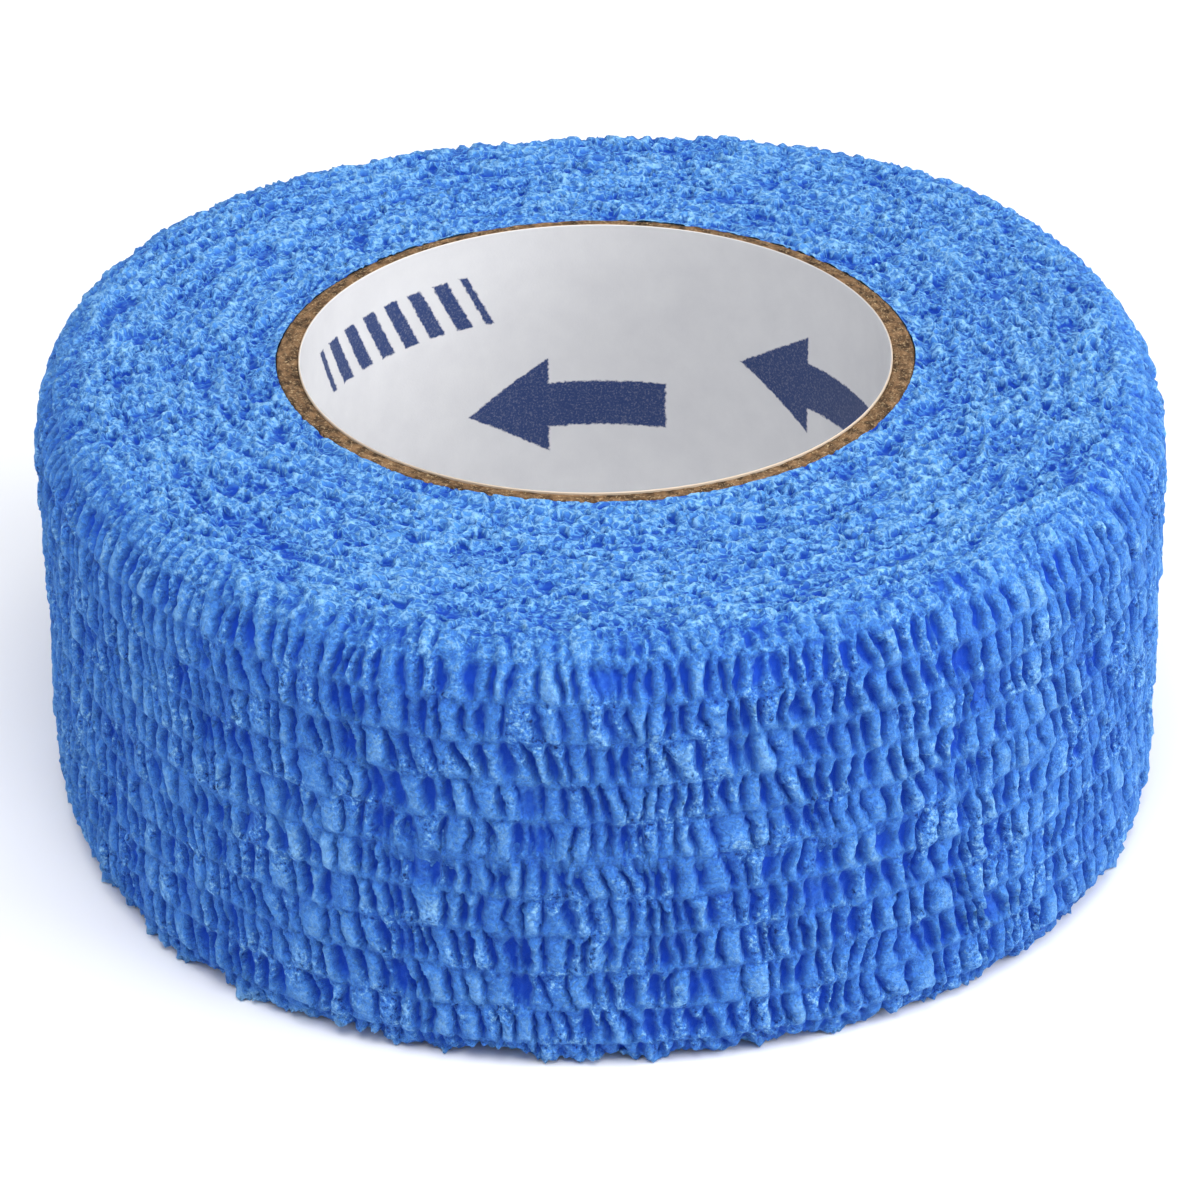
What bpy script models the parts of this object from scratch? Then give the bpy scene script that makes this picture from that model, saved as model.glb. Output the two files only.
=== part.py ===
"""A cohesive bandage roll, standing on one edge of its strip.

Metres, +Z up. The origin is the middle of the face that the roll rests on, and +Z runs up the core.
A crinkled elastic strip is wound on a kraft board tube with a white paper lining. The wound cloth is
one solid: its rims lean in, the rows between the elastic threads stand out on its side, and the
strip's outer end is a low step at the back. Bearings are in degrees from +X, counter-clockwise.
"""

import math

import bmesh
import bpy

MM = 0.001
CLEARANCE = 0.3 * MM  # between one piece and the next

# The wound strip
STRIP_WIDTH = 25.4 * MM
ROLL_RADIUS = 32.4 * MM
CORE_RADIUS = 17.7 * MM  # the board tube's nominal radius, with half a clearance on each side
END_BEARING = 78.0
END_STEP = 0.45 * MM  # the last turn, pressed down where the strip ends
END_GAP = 0.6  # degrees that the step itself takes

# Each rim leans in by a quarter ellipse: (how far in, how far up or down the side)
TOP_RIM = (3.2 * MM, 4.7 * MM)
FOOT_RIM = (1.1 * MM, 2.6 * MM)

# The rows between the elastic threads, along the side from the upper face
ROWS = 11
ROW_PITCH = 2.3 * MM
FIRST_THREAD = 0.25 * MM
THREAD_DEPTH = 0.4 * MM
CRESTS = (0.3, 0.7)  # where a row stands highest, as shares of its pitch
SWELL = 0.16 * MM  # how much a row's height varies round the roll

# The roll is slightly out of round: (lobes, their height, the bearing of one crest)
LOBES = (
    (1, 0.17 * MM, 12.0),
    (2, 0.46 * MM, 90.0),
    (3, 0.32 * MM, 34.0),
    (4, 0.42 * MM, 52.0),
)

# The upper face is the wound edge of the strip, uneven from turn to turn
FACE_RINGS = (0.25, 0.55, 0.85)  # shares of the way from the hole to the rim
FACE_WAVE = 0.18 * MM

# The core
TUBE_WALL = 0.65 * MM
TUBE_EASE = 0.1 * MM  # the cut edges of the board, eased
LINER_WALL = 0.25 * MM

COLUMNS = 96  # points round each ring of the roll
CORE_COLUMNS = 72  # and of the core's pieces
ARC_STEPS = 40  # points along each rim's arc while it is measured


def colour(hex_code):
    """The linear colour of an sRGB hex code."""
    parts = [int(hex_code[i : i + 2], 16) / 255 for i in (0, 2, 4)]
    return [p / 12.92 if p <= 0.04045 else ((p + 0.055) / 1.055) ** 2.4 for p in parts] + [1.0]


def material(name, hex_code, roughness):
    """A plain finish for one piece."""
    finish = bpy.data.materials.new(name)
    finish.use_nodes = True
    shader = finish.node_tree.nodes["Principled BSDF"]
    shader.inputs["Base Color"].default_value = colour(hex_code)
    shader.inputs["Roughness"].default_value = roughness
    shader.inputs["Metallic"].default_value = 0.0
    return finish


def ring_solid(name, rings, finish):
    """A closed hoop through the rings of points, the last of which joins the first."""
    mesh = bmesh.new()
    loops = [[mesh.verts.new(point) for point in ring] for ring in rings]
    for here, after in zip(loops, loops[1:] + loops[:1]):
        for i in range(len(here)):
            j = (i + 1) % len(here)
            mesh.faces.new((here[i], here[j], after[j], after[i]))
    bmesh.ops.recalc_face_normals(mesh, faces=mesh.faces)
    data = bpy.data.meshes.new(name)
    mesh.to_mesh(data)
    mesh.free()
    data.shade_smooth()
    data.set_sharp_from_angle(angle=math.radians(35))
    data.materials.append(finish)
    piece = bpy.data.objects.new(name, data)
    bpy.context.collection.objects.link(piece)
    return piece


def at(bearing, radius, height):
    """The point at a bearing and a radius."""
    angle = math.radians(bearing)
    return (radius * math.cos(angle), radius * math.sin(angle), height)


def roll_columns():
    """(bearing, share of the last turn) for each column, clockwise from the strip's end."""
    span = 360.0 - END_GAP
    return [(END_BEARING - span * i / COLUMNS, i / COLUMNS) for i in range(COLUMNS + 1)]


def roll_radius(bearing, share):
    """The roll's radius in one column: out of round, and smaller by a step at the turn's far end."""
    uneven = sum(
        height * math.cos(lobes * math.radians(bearing - crest)) for lobes, height, crest in LOBES
    )
    return ROLL_RADIUS + uneven + END_STEP * (0.5 - share)


def side_outline():
    """(inset, height) down the side, from the upper face to the foot."""
    quarter = [math.pi / 2 * i / ARC_STEPS for i in range(ARC_STEPS + 1)]
    (top_in, top_down), (foot_in, foot_up) = TOP_RIM, FOOT_RIM
    top = [(top_in * (1 - math.sin(t)), STRIP_WIDTH - top_down * (1 - math.cos(t))) for t in quarter]
    foot = [(foot_in * (1 - math.cos(t)), foot_up * (1 - math.sin(t))) for t in quarter]
    return top + foot


def along(outline, distance):
    """The point at a distance down an outline, and the outward direction there."""
    for (in_a, up_a), (in_b, up_b) in zip(outline, outline[1:]):
        step = math.hypot(in_b - in_a, up_b - up_a)
        if distance <= step:
            share = distance / step
            point = (in_a + (in_b - in_a) * share, up_a + (up_b - up_a) * share)
            return point, ((up_a - up_b) / step, (in_a - in_b) / step)
        distance -= step
    return outline[-1], (1.0, 0.0)


def swell(row, bearing):
    """How much higher or lower a row stands at a bearing than on average."""
    angle = math.radians(bearing)
    return SWELL * math.sin(13 * angle + 2.1 * row) * math.cos(5 * angle - 1.3 * row)


def side_rings(columns):
    """The rings down the side: each elastic thread's groove, and the crests of the row below it."""
    outline = side_outline()
    stations = []
    for row in range(ROWS + 1):
        thread = FIRST_THREAD + ROW_PITCH * row
        stations.append((thread, row, False))
        if row < ROWS:
            stations += [(thread + ROW_PITCH * share, row, True) for share in CRESTS]
    rings = []
    for distance, row, crest in stations:
        (inset, height), (out, up) = along(outline, distance)
        ring = []
        for bearing, share in columns:
            lift = swell(row, bearing) if crest else -THREAD_DEPTH
            radius = roll_radius(bearing, share) - inset
            ring.append(at(bearing, radius + out * lift, height + up * lift))
        rings.append(ring)
    return rings


def face_rings(columns, hole):
    """The rings of the upper face, from the hole outwards, uneven as the wound edge is."""
    rings = [[at(bearing, hole, STRIP_WIDTH) for bearing, _ in columns]]
    for n, way in enumerate(FACE_RINGS):
        ring = []
        for bearing, share in columns:
            rim = roll_radius(bearing, share) - TOP_RIM[0]
            wave = FACE_WAVE * math.sin((9 + 4 * n) * math.radians(bearing) + 1.7 * n)
            ring.append(at(bearing, hole + (rim - hole) * way, STRIP_WIDTH + wave))
        rings.append(ring)
    return rings


def bandage_roll():
    """The wound strip, flat underneath, where it rests."""
    columns = roll_columns()
    hole = CORE_RADIUS + CLEARANCE / 2
    foot = [at(bearing, roll_radius(bearing, share) - FOOT_RIM[0], 0.0) for bearing, share in columns]
    under = [at(bearing, hole, 0.0) for bearing, _ in columns]
    rings = face_rings(columns, hole) + side_rings(columns) + [foot, under]
    return ring_solid("bandage_roll", rings, material("blue_crepe", "3F82DE", 0.9))


def hoop(name, outer, wall, ease, finish):
    """A tube as tall as the strip is wide, with its cut edges eased."""
    inner = outer - wall
    section = [
        (outer, ease),
        (outer, STRIP_WIDTH - ease),
        (outer - ease, STRIP_WIDTH),
        (inner + ease, STRIP_WIDTH),
        (inner, STRIP_WIDTH - ease),
        (inner, ease),
        (inner + ease, 0.0),
        (outer - ease, 0.0),
    ]
    bearings = [360.0 * i / CORE_COLUMNS for i in range(CORE_COLUMNS)]
    return ring_solid(name, [[at(b, r, z) for b in bearings] for r, z in section], finish)


def core():
    """The board tube, and the paper ply that lines it."""
    tube_radius = CORE_RADIUS - CLEARANCE / 2
    liner_radius = tube_radius - TUBE_WALL - CLEARANCE
    tube = hoop("core_tube", tube_radius, TUBE_WALL, TUBE_EASE, material("kraft_board", "9A7655", 0.85))
    paper = material("white_paper", "E4E4E6", 0.6)
    liner = hoop("core_liner", liner_radius, LINER_WALL, LINER_WALL / 5, paper)
    return [tube, liner]


for old in list(bpy.data.objects):
    bpy.data.objects.remove(old, do_unlink=True)

stand = bpy.data.objects.new("roll", None)
bpy.context.collection.objects.link(stand)
for part in [bandage_roll()] + core():
    part.parent = stand
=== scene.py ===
"""The look of a cohesive bandage roll: a crinkled elastic strip wound on a lined board tube.

Metres, +Z up, with the roll standing on one edge of its strip. The sections follow the roll as it is
made: the board tube, its paper lining, and the wound cloth with its puckered side and crinkled edges.
Bearings run counter-clockwise from +X, and the viewer looks along +Y.
"""

import math

import bpy
import mathutils
import numpy as np
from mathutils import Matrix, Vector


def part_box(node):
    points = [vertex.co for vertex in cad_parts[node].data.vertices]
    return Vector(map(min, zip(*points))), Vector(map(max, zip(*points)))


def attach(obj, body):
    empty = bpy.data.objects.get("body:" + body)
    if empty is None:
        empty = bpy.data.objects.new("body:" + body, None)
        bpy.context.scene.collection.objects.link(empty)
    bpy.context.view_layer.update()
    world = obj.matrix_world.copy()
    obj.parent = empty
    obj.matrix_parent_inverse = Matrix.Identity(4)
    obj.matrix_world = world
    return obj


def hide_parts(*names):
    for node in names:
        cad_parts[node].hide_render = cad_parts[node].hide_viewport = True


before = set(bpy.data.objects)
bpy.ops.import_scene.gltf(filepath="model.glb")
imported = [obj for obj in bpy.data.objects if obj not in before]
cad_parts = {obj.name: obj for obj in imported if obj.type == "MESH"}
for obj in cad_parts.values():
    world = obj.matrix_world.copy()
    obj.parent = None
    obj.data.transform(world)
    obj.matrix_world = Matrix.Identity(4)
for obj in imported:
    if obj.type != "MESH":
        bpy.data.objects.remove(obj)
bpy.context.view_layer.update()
MM = 0.001


# The board tube. Kraft paper plies wound on a mandrel, glued, dried and sawn to the strip's width.
# The saw leaves a raw edge: the plies show as broken brown lines, with paler fibres torn out of them.
strip_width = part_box("core_tube")[1].z
tube_outer = 17.72 * MM  # the real board fills the clearances round its solid
tube_inner = 16.51 * MM
tube_squeeze = 0.5 * MM  # how much thinner the board is pressed at the front and back
corner_wear = 0.5  # the least wear at the sawn edge's corners, as a share of the tear
tube_columns = 480
tube_plies = 9  # points across the sawn edge
saw_tear = 0.13 * MM  # how deep the saw tears that edge


def closed_hoop(name, grid):
    """A hoop of quads through grid[row, column]; the last row and column join the first."""
    rows, columns = grid.shape[:2]
    here = np.arange(rows * columns).reshape(rows, columns)
    below = np.roll(here, -1, axis=0)
    quads = np.stack([here, np.roll(here, -1, 1), np.roll(below, -1, 1), below], -1).reshape(-1, 4)
    points = grid.reshape(-1, 3)
    a, b, c, d = (points[quads[:, i]] for i in range(4))
    volume = np.einsum("ij,ij->i", a, np.cross(b, c) + np.cross(c, d)).sum()
    if volume < 0:  # the faces point inwards
        quads = quads[:, ::-1]
    mesh = bpy.data.meshes.new(name)
    mesh.from_pydata(points.tolist(), [], quads.tolist())
    mesh.shade_smooth()
    piece = bpy.data.objects.new(name, mesh)
    bpy.context.scene.collection.objects.link(piece)
    return piece


def turned(section, bearings):
    """The grid that a section of (radius, height) makes at each bearing."""
    radius, height = np.array(section).T[:, :, None]
    return np.stack(
        [radius * np.cos(bearings), radius * np.sin(bearings), height + 0 * bearings], -1
    )


def linear(hex_code):
    """A linear colour from an sRGB hex code."""
    parts = [int(hex_code[i : i + 2], 16) / 255 for i in (1, 3, 5)]
    return [p / 12.92 if p <= 0.04045 else ((p + 0.055) / 1.055) ** 2.4 for p in parts] + [1.0]


def add(tree, kind, inputs=None, **settings):
    """A new node with its settings, and its inputs linked or set by name or number."""
    made = tree.nodes.new(kind)
    for name, value in settings.items():
        setattr(made, name, value)
    for key, value in (inputs or {}).items():
        socket = made.inputs[key]
        if isinstance(value, bpy.types.Node):
            value = next(output for output in value.outputs if output.enabled)
        if isinstance(value, bpy.types.NodeSocket):
            tree.links.new(value, socket)
        else:
            socket.default_value = value
    return made


def new_finish(name, roughness, specular):
    """A material with its tree, its shader, and the object's coordinates in millimetres."""
    finish = bpy.data.materials.new(name)
    finish.use_nodes = True
    tree = finish.node_tree
    shader = tree.nodes["Principled BSDF"]
    shader.inputs["Roughness"].default_value = roughness
    shader.inputs["Specular IOR Level"].default_value = specular
    place = add(tree, "ShaderNodeTexCoord").outputs["Object"]
    in_mm = add(tree, "ShaderNodeVectorMath", {0: place, "Scale": 1000.0}, operation="SCALE")
    return finish, tree, shader, in_mm


def sawn_kraft():
    """Raw sawn kraft board: matt and brown, streaked along its plies, with pale torn fibres."""
    finish, tree, shader, in_mm = new_finish("sawn_kraft_board", 0.88, 0.25)
    apart = add(tree, "ShaderNodeSeparateXYZ", {0: in_mm})
    flat = add(tree, "ShaderNodeCombineXYZ", {0: apart.outputs[0], 1: apart.outputs[1]})
    radius = add(tree, "ShaderNodeVectorMath", {0: flat}, operation="LENGTH")
    bearing = add(tree, "ShaderNodeMath", {0: apart.outputs[1], 1: apart.outputs[0]}, operation="ARCTAN2")
    # a streak is about 0.5 mm long and a ply 0.2 mm thick
    streak = add(tree, "ShaderNodeMath", {0: bearing, 1: 34.0}, operation="MULTIPLY")
    ply = add(tree, "ShaderNodeMath", {0: radius, 1: 5.0}, operation="MULTIPLY")
    along = add(tree, "ShaderNodeCombineXYZ", {0: streak, 1: ply, 2: apart.outputs[2]})
    streaks = add(
        tree, "ShaderNodeTexNoise", {"Vector": along, "Scale": 1.0, "Detail": 6.0, "Roughness": 0.7}
    )
    shade = add(tree, "ShaderNodeMapRange", {"Value": streaks, "From Min": 0.4, "From Max": 0.62})
    patch = add(tree, "ShaderNodeTexNoise", {"Vector": in_mm, "Scale": 1.3, "Detail": 2.0})
    patch = add(tree, "ShaderNodeMath", {0: patch, 1: 3.4, 2: -1.7}, operation="MULTIPLY_ADD")
    shade = add(tree, "ShaderNodeMath", {0: shade, 1: 0.7, 2: patch}, operation="MULTIPLY_ADD")
    shade = add(tree, "ShaderNodeMapRange", {"Value": shade, "From Min": -0.2, "From Max": 1.0})
    dark, tan, torn = linear("#3B2918"), linear("#8A6A4A"), linear("#C9AE86")
    board = add(tree, "ShaderNodeMix", {0: shade, 6: dark, 7: tan}, data_type="RGBA")
    grain = add(
        tree, "ShaderNodeTexNoise", {"Vector": in_mm, "Scale": 7.0, "Detail": 4.0, "Roughness": 0.7}
    )
    pale = add(
        tree, "ShaderNodeMapRange", {"Value": grain, "From Min": 0.54, "From Max": 0.68, "To Max": 0.8}
    )
    colour = add(tree, "ShaderNodeMix", {0: pale, 6: board, 7: torn}, data_type="RGBA")
    bump = add(tree, "ShaderNodeBump", {"Height": grain, "Strength": 0.8, "Distance": 0.12 * MM})
    tree.links.new(colour.outputs[2], shader.inputs["Base Color"])
    tree.links.new(bump.outputs[0], shader.inputs["Normal"])
    return finish


tear = np.random.default_rng(11)
tube_across = np.linspace(tube_outer, tube_inner, tube_plies)
tube_section = [(radius, strip_width) for radius in tube_across]
tube_section += [(tube_inner, strip_width * share) for share in (0.75, 0.5, 0.25)]
tube_section += [(radius, 0.0) for radius in tube_across[::-1]]
tube_section += [(tube_outer, strip_width * share) for share in (0.25, 0.5, 0.75)]
tube_bearings = np.linspace(0, 2 * math.pi, tube_columns, endpoint=False)
tube_grid = turned(tube_section, tube_bearings)
torn = tear.random((tube_plies, tube_columns))
torn = (torn + np.roll(torn, 1, axis=1)) / 2
torn[[0, -1]] = corner_wear + (1 - corner_wear) * torn[[0, -1]]
tube_grid[:tube_plies, :, 2] -= saw_tear * torn
tube_out = (np.hypot(tube_grid[..., 0], tube_grid[..., 1]) - tube_inner) / (tube_outer - tube_inner)
tube_facing = np.abs(np.sin(tube_bearings))
tube_grid[..., :2] *= (1 - tube_squeeze / tube_outer * tube_facing * tube_out)[..., None]
board_tube = closed_hoop("board_tube", tube_grid)
board_tube.data.materials.append(sawn_kraft())
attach(board_tube, "root")
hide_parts("core_tube")


# The lining. One ply of white coated paper, glued inside the tube before it is sawn, so that its cut
# edge is a bright line inside the brown one. It is printed with plain navy arrows and slanted bars.
liner_outer = 16.50 * MM
liner_inner = 16.40 * MM
liner_columns = 360
liner_rows = 8  # down the printed face
liner_lip = 0.04 * MM  # how far the paper stands up past the board
mark_size = 6.2  # half a mark's length, in millimetres
arrow_marks = ((96.0, 13.7), (37.0, 17.6), (276.0, 12.0), (222.0, 17.0))  # bearing, height in mm
bar_marks = ((137.0, 21.3), (320.0, 20.6))
# an arrow's parts, and then a row of bars, in units of half a mark's length
head_start, head_taper = 0.18, 0.62
shaft_middle, shaft_reach, shaft_half = -0.36, 0.6, 0.24
bar_slant, bar_pitch, bar_gap = -0.5, 0.15, 0.065
bars_reach, bars_half = 1.05, 0.27


def coated_paper():
    """White clay-coated paper: faintly mottled, a little shiny, with navy ink that has bled slightly."""
    finish, tree, shader, in_mm = new_finish("coated_paper_printed", 0.5, 0.4)
    apart = add(tree, "ShaderNodeSeparateXYZ", {0: in_mm})
    bearing = add(tree, "ShaderNodeMath", {0: apart.outputs[1], 1: apart.outputs[0]}, operation="ARCTAN2")
    inked = -1.0
    for centre, height in arrow_marks + bar_marks:
        # p and q run along and across a mark, in units of half its length
        past = add(tree, "ShaderNodeMath", {0: bearing, 1: -math.radians(centre)}, operation="ADD")
        past = add(tree, "ShaderNodeMath", {0: past, 1: math.pi, 2: -math.pi}, operation="WRAP")
        p = add(tree, "ShaderNodeMath", {0: past, 1: liner_inner / MM / mark_size}, operation="MULTIPLY")
        above = add(tree, "ShaderNodeMath", {0: apart.outputs[2], 1: -height}, operation="ADD")
        q = add(tree, "ShaderNodeMath", {0: above, 1: 1 / mark_size}, operation="MULTIPLY")
        half = add(tree, "ShaderNodeMath", {0: q}, operation="ABSOLUTE")
        if (centre, height) in arrow_marks:
            taper = add(
                tree, "ShaderNodeMath", {0: p, 1: -head_taper, 2: head_taper}, operation="MULTIPLY_ADD"
            )
            sides = add(tree, "ShaderNodeMath", {0: taper, 1: half}, operation="SUBTRACT")
            barb = add(tree, "ShaderNodeMath", {0: p, 1: head_start}, operation="SUBTRACT")
            head = add(tree, "ShaderNodeMath", {0: sides, 1: barb}, operation="MINIMUM")
            shaft = add(tree, "ShaderNodeMath", {0: shaft_half, 1: half}, operation="SUBTRACT")
            middle = add(tree, "ShaderNodeMath", {0: p, 1: -shaft_middle}, operation="ADD")
            length = add(tree, "ShaderNodeMath", {0: middle}, operation="ABSOLUTE")
            length = add(tree, "ShaderNodeMath", {0: shaft_reach, 1: length}, operation="SUBTRACT")
            shaft = add(tree, "ShaderNodeMath", {0: shaft, 1: length}, operation="MINIMUM")
            inside = add(tree, "ShaderNodeMath", {0: head, 1: shaft}, operation="MAXIMUM")
        else:
            slant = add(tree, "ShaderNodeMath", {0: q, 1: bar_slant, 2: p}, operation="MULTIPLY_ADD")
            comb = add(tree, "ShaderNodeMath", {0: slant, 1: bar_pitch}, operation="PINGPONG")
            bars = add(tree, "ShaderNodeMath", {0: comb, 1: bar_gap}, operation="SUBTRACT")
            tall = add(tree, "ShaderNodeMath", {0: bars_half, 1: half}, operation="SUBTRACT")
            reach = add(tree, "ShaderNodeMath", {0: slant}, operation="ABSOLUTE")
            long = add(tree, "ShaderNodeMath", {0: bars_reach, 1: reach}, operation="SUBTRACT")
            inside = add(tree, "ShaderNodeMath", {0: bars, 1: tall}, operation="MINIMUM")
            inside = add(tree, "ShaderNodeMath", {0: inside, 1: long}, operation="MINIMUM")
        inked = add(tree, "ShaderNodeMath", {0: inked, 1: inside}, operation="MAXIMUM")
    bleed = add(tree, "ShaderNodeTexNoise", {"Vector": in_mm, "Scale": 4.0, "Detail": 3.0})
    ragged = add(tree, "ShaderNodeMath", {0: bleed, 1: 0.05, 2: -0.025}, operation="MULTIPLY_ADD")
    ragged = add(tree, "ShaderNodeMath", {0: ragged, 1: inked}, operation="ADD")
    ink = add(tree, "ShaderNodeMapRange", {"Value": ragged, "From Min": -0.006, "From Max": 0.012})
    # the marks are printed on the face alone, and not on the cut edge
    flat = add(tree, "ShaderNodeCombineXYZ", {0: apart.outputs[0], 1: apart.outputs[1]})
    radius = add(tree, "ShaderNodeVectorMath", {0: flat}, operation="LENGTH")
    face = add(tree, "ShaderNodeMath", {0: radius, 1: liner_inner / MM + 0.03}, operation="LESS_THAN")
    ink = add(tree, "ShaderNodeMath", {0: ink, 1: face}, operation="MULTIPLY")
    # the ink lies thin over the paper's pores
    pores = add(
        tree, "ShaderNodeTexNoise", {"Vector": in_mm, "Scale": 8.0, "Detail": 4.0, "Roughness": 0.7}
    )
    thin = add(
        tree, "ShaderNodeMapRange", {"Value": pores, "From Min": 0.32, "From Max": 0.5, "To Min": 0.8}
    )
    ink = add(tree, "ShaderNodeMath", {0: ink, 1: thin}, operation="MULTIPLY")
    mottle = add(
        tree, "ShaderNodeTexNoise", {"Vector": in_mm, "Scale": 0.5, "Detail": 5.0, "Roughness": 0.6}
    )
    grey, white, navy = linear("#CBCBCE"), linear("#DCDCDD"), linear("#1F3669")
    paper = add(tree, "ShaderNodeMix", {0: mottle, 6: grey, 7: white}, data_type="RGBA")
    # the cut edge shows the paper's creamy inside
    cream = linear("#C9B8A4")
    paper = add(tree, "ShaderNodeMix", {0: face, 6: cream, 7: paper}, data_type="RGBA")
    colour = add(tree, "ShaderNodeMix", {0: ink, 6: paper, 7: navy}, data_type="RGBA")
    bump = add(tree, "ShaderNodeBump", {"Height": pores, "Strength": 0.3, "Distance": 0.03 * MM})
    tree.links.new(colour.outputs[2], shader.inputs["Base Color"])
    tree.links.new(bump.outputs[0], shader.inputs["Normal"])
    return finish


liner_section = [(liner_outer, strip_width), ((liner_outer + liner_inner) / 2, strip_width + liner_lip)]
liner_section += [(liner_inner, strip_width * (1 - row / liner_rows)) for row in range(liner_rows + 1)]
liner_section += [(liner_outer, 0.0)]
liner_grid = turned(liner_section, np.linspace(0, 2 * math.pi, liner_columns, endpoint=False))
paper_liner = closed_hoop("paper_liner", liner_grid)
paper_liner.data.set_sharp_from_angle(angle=math.radians(50))
paper_liner.data.materials.append(coated_paper())
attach(paper_liner, "root")
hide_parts("core_liner")


# The wound cloth. The strip is two webs of blue nonwoven polyester, bonded with latex round stretched
# elastic threads, which draw it up into rows of puckers. It is wound on the tube, slit edges up and down:
# there the crinkled turns press together into small cells. Its end is stuck down at the back.
end_bearing = math.radians(78.0)  # where the strip ends
wound_from = 17.78 * MM
rim_inset, rim_drop = 3.2 * MM, 4.7 * MM  # how far the upper rim leans in, over what height
foot_inset, foot_rise = 1.1 * MM, 2.6 * MM
first_thread = 0.25 * MM  # along the cloth, from where the rim begins to bend
row_pitch = 2.3 * MM  # from one elastic thread to the next
cloth_columns = 1440
cloth_thickness = 1.2 * MM  # of the turns that are modelled under the surface
hidden_rows = 4  # of points on the back of that thickness
squeeze_reach = 4 * MM  # how far out the turns are pressed in with the board
pit_size = 0.86  # of the pits between the folds of the wound edges, in millimetres
foam_size = 0.45  # and of the small cells all over those edges
cloth_seed = 5.0

# the roll's outline is that of the solid's lowest outer ring, with the foot's inset put back
solid_points = np.array([point.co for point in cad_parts["bandage_roll"].data.vertices])
solid_radius = np.hypot(solid_points[:, 0], solid_points[:, 1])
foot = (np.abs(solid_points[:, 2]) < 0.01 * MM) & (solid_radius > 1.4 * wound_from)
foot_turn = (end_bearing - np.arctan2(solid_points[foot, 1], solid_points[foot, 0])) / (2 * math.pi) % 1.0
foot_order = np.argsort(foot_turn)
turn = np.linspace(0, 1, cloth_columns, endpoint=False)  # clockwise from the strip's end
outline = foot_inset + np.interp(
    turn, foot_turn[foot_order], solid_radius[foot][foot_order], period=1.0
)
radial = np.stack([np.cos(end_bearing - 2 * math.pi * turn), np.sin(end_bearing - 2 * math.pi * turn)])
board_squeeze = tube_squeeze * np.abs(radial[1])
mean_radius = outline.mean()

# The section of the cloth's surface: over the upper edges, down the side, and back under the lower edges
quarter = np.linspace(0, math.pi / 2, 200)
line_radius = np.concatenate(
    [
        [wound_from],
        mean_radius - rim_inset * (1 - np.sin(quarter)),
        mean_radius - foot_inset * (1 - np.cos(quarter)),
        [wound_from],
    ]
)
line_height = np.concatenate(
    [
        [strip_width],
        strip_width - rim_drop * (1 - np.cos(quarter)),
        foot_rise * (1 - np.sin(quarter)),
        [0],
    ]
)
line_down = np.concatenate([[0], np.cumsum(np.hypot(np.diff(line_radius), np.diff(line_height)))])
line_down -= line_down[1]  # measured from where the rim begins to bend
face_width = -line_down[0]
foot_down = line_down[-2]
# how far each point of the section follows the roll's uneven outline: not at all at the tube
line_follow = np.ones_like(line_down)
line_follow[[0, -1]] = 0


def cloth_band(name, top, bottom, rows):
    """A closed band of the cloth between two distances down it, with the fields its relief needs."""
    shown = np.linspace(top, bottom, rows)
    hidden = np.linspace(bottom, top, hidden_rows + 2)[1:-1]
    down = np.concatenate([shown, hidden])
    cover = np.concatenate([np.ones(rows), np.zeros(len(hidden))])  # 0 where no relief is wanted
    ahead, behind = down + 0.01 * MM, down - 0.01 * MM  # for the direction out of the cloth
    run = np.interp(ahead, line_down, line_radius) - np.interp(behind, line_down, line_radius)
    fall = np.interp(behind, line_down, line_height) - np.interp(ahead, line_down, line_height)
    out, up = fall / np.hypot(run, fall), run / np.hypot(run, fall)
    depth = cloth_thickness * (1 - cover)
    follow = np.interp(down, line_down, line_follow)
    radius = (np.interp(down, line_down, line_radius) - depth * out)[:, None]
    radius = radius + follow[:, None] * (outline - mean_radius)
    by_tube = np.interp(radius, (wound_from, wound_from + squeeze_reach), (1, 0))
    radius = radius - by_tube * board_squeeze
    height = (np.interp(down, line_down, line_height) - depth * up)[:, None] + 0 * radius
    grid = np.stack([radius * radial[0], radius * radial[1], height], -1)
    piece = closed_hoop(name, grid)
    # a band is sharp along both ends of its shown face, so that it is shaded as one with the next
    lines = np.array([edge.vertices for edge in piece.data.edges]) // cloth_columns
    edge_row = np.isin(lines, (0, rows - 1)).all(axis=1) & (lines[:, 0] == lines[:, 1])
    piece.data.attributes.new("sharp_edge", "BOOLEAN", "EDGE").data.foreach_set("value", edge_row)
    across = np.ones_like(turn)
    outward = np.stack([np.outer(out, radial[0]), np.outer(out, radial[1]), np.outer(up, across)], -1)
    # the place of the foam's cells has the way down the cloth for its height, so that they run on
    # evenly over the bends, drawn out there by a quarter
    fields = {
        "outward": outward,
        "around": np.outer(np.ones_like(down), 2 * math.pi * turn * mean_radius / MM),
        "down": np.outer(down / MM, across),
        "cover": np.outer(cover, across),
        "spot": np.stack([grid[..., 0], grid[..., 1], 0.8 * down[:, None] + 0 * height], -1) / MM,
    }
    for field, values in fields.items():
        kind, part = ("FLOAT_VECTOR", "vector") if values.ndim == 3 else ("FLOAT", "value")
        made = piece.data.attributes.new(field, kind, "POINT")
        made.data.foreach_set(part, values.astype(np.float32).ravel())
    return piece


def new_shaping(name, sizes, result="NodeSocketGeometry"):
    """A tree that takes named numbers, and the outputs of its input node."""
    tree = bpy.data.node_groups.new(name, "GeometryNodeTree")
    if result == "NodeSocketGeometry":
        tree.interface.new_socket("Geometry", in_out="INPUT", socket_type=result)
        tree.interface.new_socket("Cloth", in_out="INPUT", socket_type="NodeSocketMaterial")
    tree.interface.new_socket("Result", in_out="OUTPUT", socket_type=result)
    for size in sizes:
        tree.interface.new_socket(size, in_out="INPUT", socket_type="NodeSocketFloat")
    return tree, add(tree, "NodeGroupInput").outputs


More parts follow.
